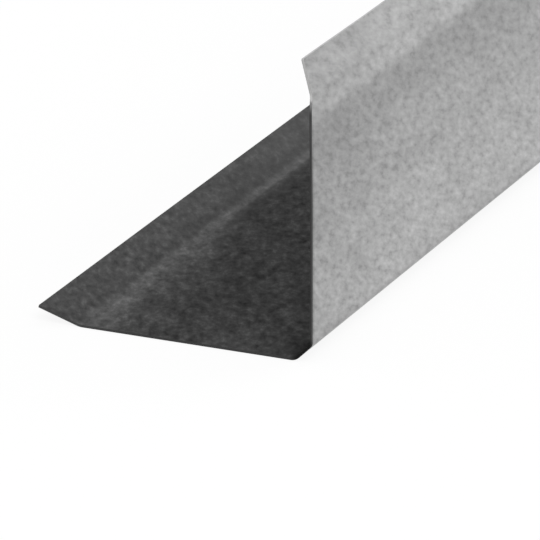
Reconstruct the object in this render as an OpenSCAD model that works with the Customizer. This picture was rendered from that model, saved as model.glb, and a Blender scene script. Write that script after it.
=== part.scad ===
// Nosing flashing: one strip of thin galvanised sheet, roll-formed into an angle. Its nose
// turns in two bends with a narrow facet between them, and the free edge of each leg is
// kicked inward, towards what the angle wraps.
// The stick lies on its deck leg, and its face leg stands up at the +X side.
// Leg and kick widths follow the outside of the metal, from sharp corner to sharp corner,
// where its outer faces would meet if the bends had no radius.

/* [Sheet] */
// Thickness of the sheet with its zinc
sheet_t = 0.48; // [0.3:0.01:1.2]
// Length of the stick
stick_length = 3048; // [300:1:3660]

/* [Nose] */
// Inside angle between the two legs
nose_angle = 90; // [75:1:135]
// Width of the facet between the two bends of the nose
nose_facet = 4.4; // [3:0.1:12]
// Outside radius of each of the two bends
nose_r = 2; // [1.3:0.1:3]

/* [Deck leg] */
// Width of the leg that lies down, with its kick
deck_leg = 50.8; // [40:0.1:120]
// Width of its kick
deck_kick = 8; // [4:0.1:12]
// Angle that its kick turns inward
deck_kick_angle = 17.5; // [5:0.5:35]
// Outside radius of the bend at its kick
deck_kick_r = 4; // [2:0.1:12]

/* [Face leg] */
// Width of the leg that stands up, with its kick
face_leg = 53; // [40:0.1:120]
// Width of its kick
face_kick = 6.4; // [4:0.1:12]
// Angle that its kick turns inward
face_kick_angle = 14.5; // [5:0.5:35]
// Outside radius of the bend at its kick
face_kick_r = 4; // [2:0.1:12]

/* [Hidden] */
// Largest turn that one facet of a bend makes
facet_turn = 3;

// The section is walked from the deck kick's free edge, round the nose, to the face
// kick's free edge, with the metal's outer side on the right. A heading is an angle from +X.
deck_kick_heading = -deck_kick_angle;
deck_heading = 0;
facet_heading = (180 - nose_angle) / 2;
face_heading = 180 - nose_angle;
face_kick_heading = face_heading + face_kick_angle;

function ahead(heading) = [cos(heading), sin(heading)];
function left_of(heading) = [-sin(heading), cos(heading)];

// Sharp corners of the outer side, from the one that the legs would meet at if the nose had
// no facet. The deck leg lies on the floor, and the stick's origin is under the middle of
// its reach, from that corner to the free edge of its kick.
deck_reach = deck_leg - deck_kick + deck_kick * cos(deck_kick_angle);
nose_corner = [deck_reach / 2, 0];
facet_setback = nose_facet / 2 / cos(facet_heading);
lower_nose_corner = nose_corner - facet_setback * ahead(deck_heading);
upper_nose_corner = nose_corner + facet_setback * ahead(face_heading);
deck_kick_corner = nose_corner - (deck_leg - deck_kick) * ahead(deck_heading);
face_kick_corner = nose_corner + (face_leg - face_kick) * ahead(face_heading);
deck_edge = deck_kick_corner - deck_kick * ahead(deck_kick_heading);
face_edge = face_kick_corner + face_kick * ahead(face_kick_heading);

// Round stretch between two headings, for the side of the metal that lies inset from its
// outer side. Both sides of a bend share one centre.
function bend(corner, heading_in, heading_out, outer_r, inset) =
    let (
        turn = heading_out - heading_in,
        start = corner - outer_r * tan(turn / 2) * ahead(heading_in),
        centre = start + outer_r * left_of(heading_in),
        facets = ceil(turn / facet_turn)
    )
    [
        for (i = [0 : facets])
            centre - (outer_r - inset) * left_of(heading_in + turn * i / facets)
    ];

// One side of the section, from free edge to free edge
function side(inset) = concat(
    [deck_edge + inset * left_of(deck_kick_heading)],
    bend(deck_kick_corner, deck_kick_heading, deck_heading, deck_kick_r, inset),
    bend(lower_nose_corner, deck_heading, facet_heading, nose_r, inset),
    bend(upper_nose_corner, facet_heading, face_heading, nose_r, inset),
    bend(face_kick_corner, face_heading, face_kick_heading, face_kick_r, inset),
    [face_edge + inset * left_of(face_kick_heading)]
);

function backwards(points) = [for (i = [len(points) - 1 : -1 : 0]) points[i]];

// Section of the strip in X and Z: out along its outer side and back along its inner side
module strip_section() {
    polygon(concat(side(0), backwards(side(sheet_t))));
}

// The whole stick along Y
module nosing_flashing() {
    color("silver")
        rotate([90, 0, 0])
            linear_extrude(stick_length, center = true)
                strip_section();
}

nosing_flashing();
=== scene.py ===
# Nosing flashing: one stick of hot-dip galvanised sheet, roll-formed into an angle with a
# bevelled nose and with both free edges kicked inward. It lies on its deck leg, and the camera
# looks down on its near end, where it was sheared square.

import math

import bmesh
import bpy
from mathutils import Matrix, Vector, noise


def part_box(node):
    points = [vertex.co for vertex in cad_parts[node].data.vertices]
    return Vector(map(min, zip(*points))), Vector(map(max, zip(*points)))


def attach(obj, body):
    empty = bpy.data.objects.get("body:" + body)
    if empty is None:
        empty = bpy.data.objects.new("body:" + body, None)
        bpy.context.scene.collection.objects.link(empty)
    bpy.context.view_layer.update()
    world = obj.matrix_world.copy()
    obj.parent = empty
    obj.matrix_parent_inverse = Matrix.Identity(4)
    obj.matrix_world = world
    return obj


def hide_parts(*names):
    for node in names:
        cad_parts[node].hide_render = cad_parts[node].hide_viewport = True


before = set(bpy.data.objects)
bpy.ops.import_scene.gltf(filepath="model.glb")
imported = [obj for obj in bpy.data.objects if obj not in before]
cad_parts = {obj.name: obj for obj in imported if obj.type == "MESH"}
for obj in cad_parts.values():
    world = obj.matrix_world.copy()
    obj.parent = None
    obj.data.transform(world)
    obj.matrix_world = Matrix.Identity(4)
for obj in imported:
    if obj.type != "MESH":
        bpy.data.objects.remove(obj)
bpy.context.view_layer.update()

# The strip: coil of 28 gauge steel with zinc on both sides, run through forming rolls that turn
# it at four bends, and cut to length by a flying shear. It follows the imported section, with the
# small faults of real sheet: slack flats, uneven free edges, blunted cuts and rounded corners.
mm = 0.001
low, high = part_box("nosing_flashing")
sheet_t = 0.48 * mm
deck_kick_w = 8 * mm
deck_kick_turn = math.radians(17.5)
face_kick_w = 6.4 * mm
face_kick_turn = math.radians(14.5)
kick_r = 4 * mm
nose_turn = math.radians(45)
nose_facet = 4.4 * mm
nose_setback = nose_facet / 2 / math.cos(nose_turn)
lower_nose_r = 2.2 * mm
upper_nose_r = 1.3 * mm
deck_w = high.x - low.x - deck_kick_w * math.cos(deck_kick_turn) - nose_setback
face_w = high.z - low.z - face_kick_w * math.cos(face_kick_turn) - nose_setback

# Each run of the outer side, from the deck kick's free edge to the face kick's: its width
# between sharp corners, then the turn and the outside radius of the bend at its end
runs = [
    (deck_kick_w, deck_kick_turn, kick_r),
    (deck_w, nose_turn, lower_nose_r),
    (nose_facet, nose_turn, upper_nose_r),
    (face_w, face_kick_turn, kick_r),
    (face_kick_w, 0, 0),
]
flat_step = 2.5 * mm
bend_step = math.radians(5)


def walk_section():
    """The outer side's points as (place, direction to the inner side, distance over the blank)."""
    place = Vector((low.x, 0, low.z + deck_kick_w * math.sin(deck_kick_turn)))
    heading, gone, setback = -deck_kick_turn, 0, 0
    points = []
    for width, turn, radius in runs:
        ahead = Vector((math.cos(heading), 0, math.sin(heading)))
        inward = Vector((-ahead.z, 0, ahead.x))
        next_setback = radius * math.tan(turn / 2)
        # The run's flat, between the bends at either end
        flat = width - setback - next_setback
        steps = math.ceil(flat / flat_step)
        points += [(place + ahead * flat * i / steps, inward, gone + flat * i / steps)
                   for i in range(steps + 1)]
        # Its bend, round a centre that both sides of the sheet share
        centre = place + ahead * flat + inward * radius
        gone += flat
        steps = math.ceil(turn / bend_step)
        for i in range(1, steps):
            angle = turn * i / steps
            to_centre = inward * math.cos(angle) - ahead * math.sin(angle)
            points.append((centre - to_centre * radius, to_centre, gone + radius * angle))
        heading += turn
        place = centre - Vector((-math.sin(heading), 0, math.cos(heading))) * radius
        gone += radius * turn
        setback = next_setback
    return points


def step_in(edge, beside, step):
    """A point a small step in from a free edge, towards the point beside it."""
    (start, inward, gone), (after, _, _) = edge, beside
    return start + (after - start).normalized() * abs(step), inward, gone + step


# Slitting and shearing take the sharpness off the cut edges and the strip's four corners
blunt = 0.02 * mm
deck_corner_r = 0.05 * mm
face_corner_r = 0.35 * mm
section = walk_section()
section.insert(1, step_in(section[0], section[1], blunt))
section.insert(-1, step_in(section[-1], section[-2], -blunt))
last = len(section) - 1

# The strip's width before bending, and where the kicks' bends lie on it
blank_w = section[last][2]
deck_bend = deck_kick_w
face_bend = blank_w - face_kick_w

# The flats are a little slack between the bends, by about slack_middle of the full slack, and
# the free edges wave. Both die out towards the ends, where the sheet was held for the cut. The
# places keep the slack and the two edges' waves apart in the noise that they follow.
slack = 0.2 * mm
slack_length = 260 * mm
slack_width = 60 * mm
slack_from_bend = 18 * mm
slack_middle = 0.5
slack_place = 3.1
edge_wave = 0.2 * mm
edge_wave_length = 170 * mm
edge_wave_place = 1.7
deck_edge_place = 0
face_edge_place = 7
held_length = 600 * mm
# The rolls draw the face in just below its kick, by distances down the face from the kick's bend.
# The slit edges aren't quite straight: away from the ends the deck kick is a little wider, and at
# the ends the face kick is.
drawn_in = 0.17 * mm
drawn_from = 22 * mm
drawn_most = 1.8 * mm
drawn_to = -0.6 * mm
deck_kick_wider = 0.08 * mm
deck_kick_wider_from = 60 * mm
face_kick_wider = 0.2 * mm
face_kick_wider_to = 30 * mm


def ease(share):
    """0 to 1 as a smooth step, held at either end."""
    return math.sin(min(1, max(0, share)) * math.pi / 2) ** 2


def fault_at(y, gone):
    """How far the sheet stands inward of its true section."""
    from_bend = min(abs(gone - deck_bend), abs(gone - face_bend), abs(gone - blank_w / 2))
    belly = ease(from_bend / slack_from_bend)
    wander = noise.noise(Vector((y / slack_length, gone / slack_width, slack_place)))
    drift = max(0, wander + slack_middle)
    from_edge = min(gone, blank_w - gone)
    edge_place = deck_edge_place if gone < blank_w / 2 else face_edge_place
    ripple = noise.noise(Vector((y / edge_wave_length, edge_place, edge_wave_place)))
    free = min(1, (high.y - abs(y)) / held_length) ** 2
    down = face_bend - gone
    draw = min((drawn_from - down) / (drawn_from - drawn_most),
               (down - drawn_to) / (drawn_most - drawn_to))
    return drawn_in * ease(draw) + free * (
        slack * belly * drift + edge_wave * max(0, 1 - from_edge / deck_kick_w) * ripple)


def corner_cut(y, radius):
    """How far a rounded corner pulls its free edge in at y."""
    short = max(0, radius - (high.y - abs(y)))
    return radius - math.sqrt(radius ** 2 - short ** 2)


def ring_at(y, inset):
    """The outer and inner points of the section at y, inset where a blunted cut needs it."""
    from_end = high.y - abs(y)
    deck_wider = deck_kick_wider * ease(from_end / deck_kick_wider_from)
    face_wider = face_kick_wider * ease(1 - from_end / face_kick_wider_to)
    deck_shift = corner_cut(y, deck_corner_r) - deck_wider
    face_shift = face_wider - corner_cut(y, face_corner_r)
    outer, inner = [], []
    for i, (place, inward, gone) in enumerate(section):
        ahead = Vector((inward.z, 0, -inward.x))
        shift = deck_shift if i < 2 else face_shift if i > last - 2 else 0
        base = place + ahead * shift + inward * fault_at(y, gone) + Vector((0, y, 0))
        edge = blunt if i in (0, last) else inset
        outer.append(base + inward * edge)
        inner.append(base + inward * (sheet_t - edge))
    return outer, inner


# Stations along the stick, close together at the cut ends and their rounded corners
station_gap = 10 * mm
end_steps = [0, blunt, deck_corner_r, 0.12 * mm, 0.22 * mm, face_corner_r,
             0.6 * mm, 1.6 * mm, 3 * mm, 5 * mm]
between = high.y - low.y - 2 * end_steps[-1]
steps = math.ceil(between / station_gap)
stations = [low.y + step for step in end_steps]
stations += [low.y + end_steps[-1] + between * i / steps for i in range(1, steps)]
stations += [high.y - step for step in reversed(end_steps)]

# Each ring has its outer corners and then its inner ones. A corner is a vertex with its place on
# the blank: the distance along the stick, and the distance over the blank.
OUTER, INNER, CUT = 0, 1, 2
strip = bmesh.new()
blank_uv = strip.loops.layers.uv.new("blank")
rings = []
for y in stations:
    rings.append([[(strip.verts.new(point), y, gone) for point, (_, _, gone) in zip(side, section)]
                  for side in ring_at(y, blunt if y in (low.y, high.y) else 0)])


def panel(corners, turned, finish):
    """One face between its corners, turned round where it would look into the sheet."""
    corners = corners[::-1] if turned else corners
    face = strip.faces.new([vertex for vertex, _, _ in corners])
    face.material_index = finish
    face.smooth = True
    for loop, (_, along, over) in zip(face.loops, corners):
        loop[blank_uv].uv = (along, over)


for near, far in zip(rings, rings[1:]):
    for finish in (OUTER, INNER):
        for i in range(last):
            panel([near[finish][i], near[finish][i + 1], far[finish][i + 1], far[finish][i]],
                  finish == OUTER, finish)
    for i in (0, last):
        panel([near[INNER][i], near[OUTER][i], far[OUTER][i], far[INNER][i]], i == 0, CUT)

# On the cuts across the ends, the distance along the stick also tells the lip of the cut from the
# rest of it: only the face leg's outer corners count as at the end, and all others as deeper in.
for (outer, inner), y in ((rings[0], low.y), (rings[-1], high.y)):
    deep = y - math.copysign(sheet_t, y)
    for i in range(last):
        (here, _, gone), (there, _, next_gone) = outer[i], outer[i + 1]
        entered = y if gone > blank_w / 2 else deep
        panel([(there, entered, next_gone), (here, entered, gone),
               (inner[i][0], deep, gone), (inner[i + 1][0], deep, next_gone)], y == low.y, CUT)

# The bends shade smoothly, and the cut edges stay crisp
crisp_turn = math.radians(30)
strip_mesh = bpy.data.meshes.new("nosing_flashing_strip")
strip.to_mesh(strip_mesh)
strip.free()
strip_mesh.set_sharp_from_angle(angle=crisp_turn)
strip_piece = bpy.data.objects.new("nosing_flashing_strip", strip_mesh)
bpy.context.scene.collection.objects.link(strip_piece)
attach(strip_piece, "root")
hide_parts("nosing_flashing")


def linear(colour):
    """A hex sRGB colour as linear RGBA."""
    levels = [int(colour[i:i + 2], 16) / 255 for i in (1, 3, 5)]
    return [v / 12.92 if v <= 0.04045 else ((v + 0.055) / 1.055) ** 2.4 for v in levels] + [1]


def add(tree, kind, settings, inputs):
    """Adds a node with its settings, and its inputs as values or as links from other sockets."""
    node = tree.nodes.new(kind)
    for name, value in settings.items():
        setattr(node, name, value)
    for name, value in inputs.items():
        if isinstance(value, bpy.types.NodeSocket):
            tree.links.new(value, node.inputs[name])
        else:
            node.inputs[name].default_value = value
    return node


# The finish has broad, faint clouds as well as its grains, and its gloss and a slight relief
# follow the grains. kick_fade is the stretch before a kick's bend over which the leg's look turns
# into the kick's. The other fades give how far from an end the look near the ends still holds,
# and from where the look further in does.
cloud_w = 4.5 * mm
relief_h = 0.02 * mm
gloss_range = 0.2
kick_fade = 10 * mm
band_fade = (38 * mm, 62 * mm)
mottle_fade = (30 * mm, 100 * mm)


def zinc(name, tone, edge_tone, metallic, roughness, grain_w, stretch, slant, shift, mottle,
         clouding, specks, across, ends):
    """Hot-dip zinc with minimised spangle, left semi-matt by the dryer and the forming rolls: the
    eye sees a fine, soft mottle of greys and no crystals. The grains are about a millimetre wide,
    drawn out along the stick by the rolling and a little aslant. edge_tone is what it reflects at
    grazing angles. A dull film of zinc salts scatters light, so metallic is low where one lies.

    specks, across and ends list how the tone changes, each as (where the change starts, where it
    is full, gain): specks over the height of the grains, across over the blank from the deck
    kick's free edge on, and ends over the distance from either end of the stick. A change that is
    full at two places has the first near the ends, and the second further in. Of two gains, the
    first is the legs' and the second is the kicks', and so for clouding. mottle has such a pair
    for the ends and another for further in."""
    material = bpy.data.materials.new(name)
    material.use_nodes = True
    tree = material.node_tree
    shader = tree.nodes["Principled BSDF"]
    place = add(tree, "ShaderNodeTexCoord", {}, {}).outputs["Object"]
    place = add(tree, "ShaderNodeMapping", {"vector_type": "TEXTURE"}, {
        "Vector": place, "Location": (shift, shift, shift), "Rotation": slant,
        "Scale": (1, stretch, 1)}).outputs[0]
    grain = add(tree, "ShaderNodeTexNoise", {}, {
        "Vector": place, "Scale": 1 / grain_w, "Detail": 3, "Roughness": 0.6}).outputs["Fac"]
    cloud = add(tree, "ShaderNodeTexNoise", {}, {
        "Vector": place, "Scale": 1 / cloud_w, "Detail": 1, "Roughness": 0.5}).outputs["Fac"]
    uv = add(tree, "ShaderNodeUVMap", {"uv_map": "blank"}, {}).outputs[0]
    on_blank = add(tree, "ShaderNodeSeparateXYZ", {}, {0: uv}).outputs
    from_middle = add(tree, "ShaderNodeMath", {"operation": "ABSOLUTE"}, {
        0: on_blank["X"]}).outputs[0]
    from_nose = add(tree, "ShaderNodeMath", {"operation": "SUBTRACT"}, {
        0: on_blank["Y"], 1: (deck_bend + face_bend) / 2}).outputs[0]
    from_nose = add(tree, "ShaderNodeMath", {"operation": "ABSOLUTE"}, {0: from_nose}).outputs[0]
    kick_starts = (face_bend - deck_bend) / 2

    def by_leg(legs, kicks):
        """One value on the legs and another on the kicks."""
        return add(tree, "ShaderNodeMapRange", {}, {
            "Value": from_nose, "From Min": kick_starts - kick_fade, "From Max": kick_starts,
            "To Min": legs, "To Max": kicks}).outputs[0]

    def by_end(near_end, further_in, fade):
        """One value near the ends of the stick and another further in."""
        return add(tree, "ShaderNodeMapRange", {}, {
            "Value": from_middle, "From Min": high.y - fade[1], "From Max": high.y - fade[0],
            "To Min": further_in, "To Max": near_end}).outputs[0]

    def varied(pattern, strength):
        """A gain that follows a pattern of 0 to 1, up and down around 1."""
        centred = add(tree, "ShaderNodeMath", {"operation": "SUBTRACT"}, {
            0: pattern, 1: 0.5}).outputs[0]
        return add(tree, "ShaderNodeMath", {"operation": "MULTIPLY_ADD"}, {
            0: centred, 1: strength, 2: 1}).outputs[0]

    mottle_at_ends, mottle_further_in = mottle
    mottled = varied(grain, by_end(by_leg(*mottle_at_ends), by_leg(*mottle_further_in), mottle_fade))
    clouded = varied(cloud, by_leg(*clouding))
    level = add(tree, "ShaderNodeMath", {"operation": "MULTIPLY"}, {
        0: mottled, 1: clouded}).outputs[0]
    changes = [(grain, *change) for change in specks]
    changes += [(on_blank["Y"], *change) for change in across]
    changes += [(from_middle, high.y - starts, high.y - full, gain) for starts, full, gain in ends]
    for distance, starts, full, gain in changes:
        if isinstance(full, tuple):
            full = by_end(*full, band_fade)
        if isinstance(gain, tuple):
            gain = by_leg(*gain)
        change = add(tree, "ShaderNodeMapRange", {"interpolation_type": "SMOOTHSTEP"}, {
            "Value": distance, "From Min": starts, "From Max": full, "To Min": 1, "To Max": gain})
        level = add(tree, "ShaderNodeMath", {"operation": "MULTIPLY"}, {
            0: level, 1: change.outputs[0]}).outputs[0]
    colour = add(tree, "ShaderNodeVectorMath", {"operation": "SCALE"}, {
        0: linear(tone)[:3], "Scale": level}).outputs[0]
    tree.links.new(colour, shader.inputs["Base Color"])
    shader.inputs["Metallic"].default_value = metallic
    shader.inputs["Specular IOR Level"].default_value = 0
    shader.inputs["Specular Tint"].default_value = linear(edge_tone)
    rough = add(tree, "ShaderNodeMath", {"operation": "MULTIPLY_ADD"}, {
        0: grain, 1: gloss_range, 2: roughness - gloss_range / 2}).outputs[0]
    tree.links.new(rough, shader.inputs["Roughness"])
    relief = add(tree, "ShaderNodeBump", {}, {
        "Strength": 0.3, "Distance": relief_h, "Height": grain}).outputs[0]
    tree.links.new(relief, shader.inputs["Normal"])
    return material


# Where the nose facet starts and ends on the blank
nose_start = deck_kick_w + deck_w
nose_end = nose_start + nose_facet

# The outer side ran clean through the rolls, and shows darker specks. Across the blank it has
# painted shade on the nose facet, which faces down, and a painted highlight in a narrow band just
# below the face kick, where the face is drawn in and leans back. The face grows darker up towards
# the kick, and darker again at the kick's bend. Near the ends it is a little darker, and its legs
# are darker still over the last millimetre.
strip_mesh.materials.append(zinc(
    "galvanised_outer", tone="#adadad", edge_tone="#ffffff", metallic=1, roughness=0.5,
    grain_w=1.15 * mm, stretch=2.6, slant=(math.radians(-22), 0, 0), shift=0,
    mottle=((1.15, 0.92), (0.96, 0.78)), clouding=(0.3, 0.2),
    specks=[(0.46, 0.3, 0.93)],
    across=[
        (nose_start - 1.5 * mm, nose_start, 0.85),
        (nose_end - 0.3 * mm, nose_end + 1.3 * mm, 1.18),
        (nose_end + 5 * mm, nose_end + 11 * mm, 0.965),
        (nose_end + 15 * mm, nose_end + 22 * mm, 0.91),
        (nose_end + 26 * mm, face_bend - 8 * mm, 0.88),
        (face_bend - 6 * mm, face_bend - 3 * mm, 1.35),
        (face_bend - 1.5 * mm, face_bend + 1 * mm, 0.88),
        (face_bend + 3 * mm, blank_w, 0.94)],
    ends=[
        (40 * mm, 12 * mm, (0.92, 0.9)),
        (1 * mm, 0, (0.68, 1.04))]))

# The inner side's dark grey is mostly painted shade, the shade that the inside of the angle lies
# in, and partly a duller zinc, with a few paler specks. Across the blank it has painted highlights
# along the bends of the kicks, and painted shade on the deck where the face leg shades it, beyond
# a lit band along the deck kick's bend that is painted wider near the ends, where light comes in
# at the open ends. Painted shade deepens into the corner of the nose. Near the ends the legs are
# painted lighter by the light from the open ends, and further in the kicks are lighter.
strip_mesh.materials.append(zinc(
    "galvanised_inner", tone="#515151", edge_tone="#b2b2b2", metallic=0.3, roughness=0.45,
    grain_w=1.22 * mm, stretch=1.8, slant=(0, 0, math.radians(24)), shift=0.4,
    mottle=((2.25, 1.75), (2.55, 0.95)), clouding=(0.45, 0.35),
    specks=[(0.54, 0.7, 1.12)],
    across=[
        (deck_bend - 4 * mm, deck_bend - 1.5 * mm, 0.93),
        (deck_bend - 1.2 * mm, deck_bend + 0.4 * mm, 1.62),
        (deck_bend + 0.9 * mm, (deck_bend + 7.4 * mm, deck_bend + 1.9 * mm), 0.6),
        (deck_bend + 2 * mm, (deck_bend + 17 * mm, deck_bend + 3.2 * mm), 0.74),
        (deck_bend + 16 * mm, deck_bend + 28 * mm, 1.14),
        (nose_start - 6 * mm, nose_start - 2.5 * mm, 0.8),
        (nose_start - 1.5 * mm, nose_start, 0.4),
        (nose_end - 0.5 * mm, nose_end + 3 * mm, 6.5),
        (face_bend - 8 * mm, face_bend - 0.5 * mm, 1.3),
        (face_bend, face_bend + 1.5 * mm, 0.75)],
    ends=[
        (50 * mm, 2 * mm, (1.05, 0.94)),
        (6 * mm, 0, (0.95, 0.9)),
        (74 * mm, 96 * mm, (1, 1.18))]))

# The cut edges are a dark grey close to the inner side's, and the dark is painted shade: deepest
# at the nose, painted near-black in its corner, and lighter up the face leg, lightest just below
# the face kick. Across the face leg the cut has a brighter lip next to the outer side.
strip_mesh.materials.append(zinc(
    "sheared_edge", tone="#4c4c4c", edge_tone="#ffffff", metallic=1, roughness=0.6,
    grain_w=1.1 * mm, stretch=1.4, slant=(0, 0, 0), shift=0.8,
    mottle=((0.5, 0.5), (0.5, 0.5)), clouding=(0.1, 0.1),
    specks=[],
    across=[
        (deck_bend, deck_bend + 10 * mm, 0.79),
        (nose_start - 1.5 * mm, nose_start + 0.5 * mm, 0.27),
        (nose_end - 0.5 * mm, nose_end + 1.2 * mm, 3),
        (face_bend - 10 * mm, face_bend - 6 * mm, 1.2),
        (face_bend - 3.3 * mm, face_bend - 1.1 * mm, 4.3),
        (face_bend - 1.2 * mm, face_bend - 0.5 * mm, 2.3),
        (face_bend - 0.4 * mm, face_bend + 0.8 * mm, 0.85)],
    ends=[(0.4 * mm, 0.1 * mm, (2.2, 1))]))

# The floor: a plain studio sweep of matt white paper. The camera and the metal see it as white,
# and it keeps part of its own shading, so that the stick's soft shadow lies on it.
floor_size = 120
shadow_share = 0.13
floor_mesh = bpy.data.meshes.new("studio_floor")
sweep = bmesh.new()
bmesh.ops.create_grid(sweep, x_segments=1, y_segments=1, size=floor_size / 2)
sweep.to_mesh(floor_mesh)
sweep.free()
floor = bpy.data.objects.new("studio_floor", floor_mesh)
bpy.context.scene.collection.objects.link(floor)


def seen_ray(tree):
    """1 for the rays of the camera, gloss and glass, and 0 for those that only light things."""
    ray = add(tree, "ShaderNodeLightPath", {}, {}).outputs
    direct = add(tree, "ShaderNodeMath", {"operation": "MAXIMUM"}, {
        0: ray["Is Camera Ray"], 1: ray["Is Glossy Ray"]}).outputs[0]
    return add(tree, "ShaderNodeMath", {"operation": "MAXIMUM"}, {
        0: direct, 1: ray["Is Transmission Ray"]}).outputs[0]


paper = bpy.data.materials.new("white_paper")
paper.use_nodes = True
tree = paper.node_tree
tree.nodes.remove(tree.nodes["Principled BSDF"])
white_share = add(tree, "ShaderNodeMath", {"operation": "MULTIPLY"}, {
    0: seen_ray(tree), 1: 1 - shadow_share}).outputs[0]
shaded = add(tree, "ShaderNodeBsdfDiffuse", {}, {"Color": linear("#ffffff")}).outputs[0]
white = add(tree, "ShaderNodeEmission", {}, {
    "Color": linear("#ffffff"), "Strength": 1}).outputs[0]
both = add(tree, "ShaderNodeMixShader", {}, {0: white_share, 1: shaded, 2: white}).outputs[0]
tree.links.new(both, tree.nodes["Material Output"].inputs["Surface"])
floor_mesh.materials.append(paper)

# The room: a pale studio that lights the stick evenly from all round. It lights things at
# room_level, and the camera and the metal see it as white.
room_level = 0.66
world = bpy.data.worlds.new("studio_room")
bpy.context.scene.world = world
world.use_nodes = True
tree = world.node_tree
room_strength = add(tree, "ShaderNodeMapRange", {}, {
    "Value": seen_ray(tree), "To Min": room_level, "To Max": 1}).outputs[0]
room = tree.nodes["Background"]
room.inputs["Color"].default_value = linear("#ffffff")
tree.links.new(room_strength, room.inputs["Strength"])


def away(azimuth, elevation):
    """The direction out from the stick, by degrees round from its near end and degrees up."""
    turn, rise = math.radians(azimuth), math.radians(elevation)
    return Vector((math.sin(turn) * math.cos(rise), -math.cos(turn) * math.cos(rise),
                   math.sin(rise)))


# The lamps: a broad key light high on the right, and two weaker ones behind that the kicks pick
# up. Each shines evenly along the whole stick. They are given as name, strength, spread in
# degrees, azimuth and elevation.
lamp_distance = 3
for name, strength, spread, azimuth, elevation in (
    ("key_light", 1.1, 40, 60, 50),
    ("kick_light", 0.35, 30, 173, 37),
    ("rim_light", 0.4, 30, 141, 18),
):
    lamp = bpy.data.lights.new(name, "SUN")
    lamp.energy = strength
    lamp.angle = math.radians(spread)
    lamp_object = bpy.data.objects.new(name, lamp)
    lamp_object.rotation_mode = "QUATERNION"
    lamp_object.rotation_quaternion = away(azimuth, elevation).to_track_quat("Z", "Y")
    lamp_object.location = away(azimuth, elevation) * lamp_distance
    bpy.context.scene.collection.objects.link(lamp_object)

# The camera: a long lens over the right of the near end. nose_px is where it sees the sharp
# outer corner of the near end, at which the two legs would meet.
image_px = 540
nose_px = (312.8, 363.55)
nose_depth = 1.168
camera_azimuth = 23.95
camera_elevation = 20.15
camera_roll = math.radians(-0.1)
camera_data = bpy.data.cameras.new("camera")
camera_data.sensor_width = 36
camera_data.lens = 470
camera_data.clip_start = 0.05
camera_data.clip_end = 200
focal_px = camera_data.lens / camera_data.sensor_width * image_px
upright = away(camera_azimuth, camera_elevation).to_track_quat("Z", "Y").to_matrix()
turned = upright @ Matrix.Rotation(camera_roll, 3, "Z")
nose_seen = Vector((nose_px[0] - image_px / 2, image_px / 2 - nose_px[1], -focal_px)) / focal_px
nose = Vector((high.x, low.y, low.z))
camera = bpy.data.objects.new("camera", camera_data)
camera.matrix_world = Matrix.Translation(nose - turned @ nose_seen * nose_depth) @ turned.to_4x4()
bpy.context.scene.collection.objects.link(camera)
bpy.context.scene.camera = camera
bpy.context.scene.view_settings.view_transform = "Standard"
